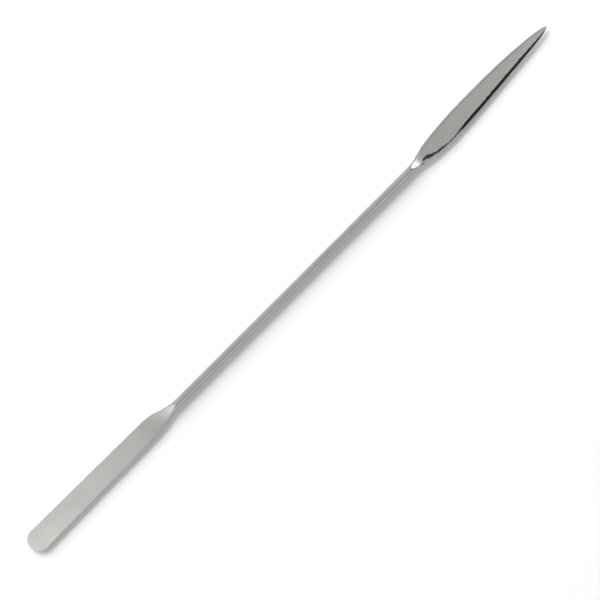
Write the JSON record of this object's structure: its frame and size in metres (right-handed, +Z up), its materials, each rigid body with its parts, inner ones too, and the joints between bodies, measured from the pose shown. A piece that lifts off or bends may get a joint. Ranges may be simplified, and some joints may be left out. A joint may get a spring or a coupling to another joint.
{
  "type": "sculpting spatula",
  "caption": "Slim double-ended steel sculpting spatula: a round shank with a straight round-ended blade at one end and a pointed leaf blade at the other.",
  "frame": {"origin": "mid-length of the tool, below the shank's centre line, on the surface that the shank lies on", "axes": "+X along the tool from the flat blade to the leaf blade's point, +Y across the blades towards the side that the leaf leans to, +Z up from the surface, square to the blades' faces"},
  "size_m": [0.2, 0.0064, 0.002],
  "materials": {
    "shank_steel": "bright drawn and polished stainless steel",
    "flat_blade_steel": "satin ground stainless steel",
    "leaf_blade_steel": "fine satin faces with polished ground edges, stainless steel"
  },
  "bodies": {
    "root": {"shank": "shank_steel", "flat_blade": "flat_blade_steel", "leaf_blade": "leaf_blade_steel"}
  },
  "joints": []
}
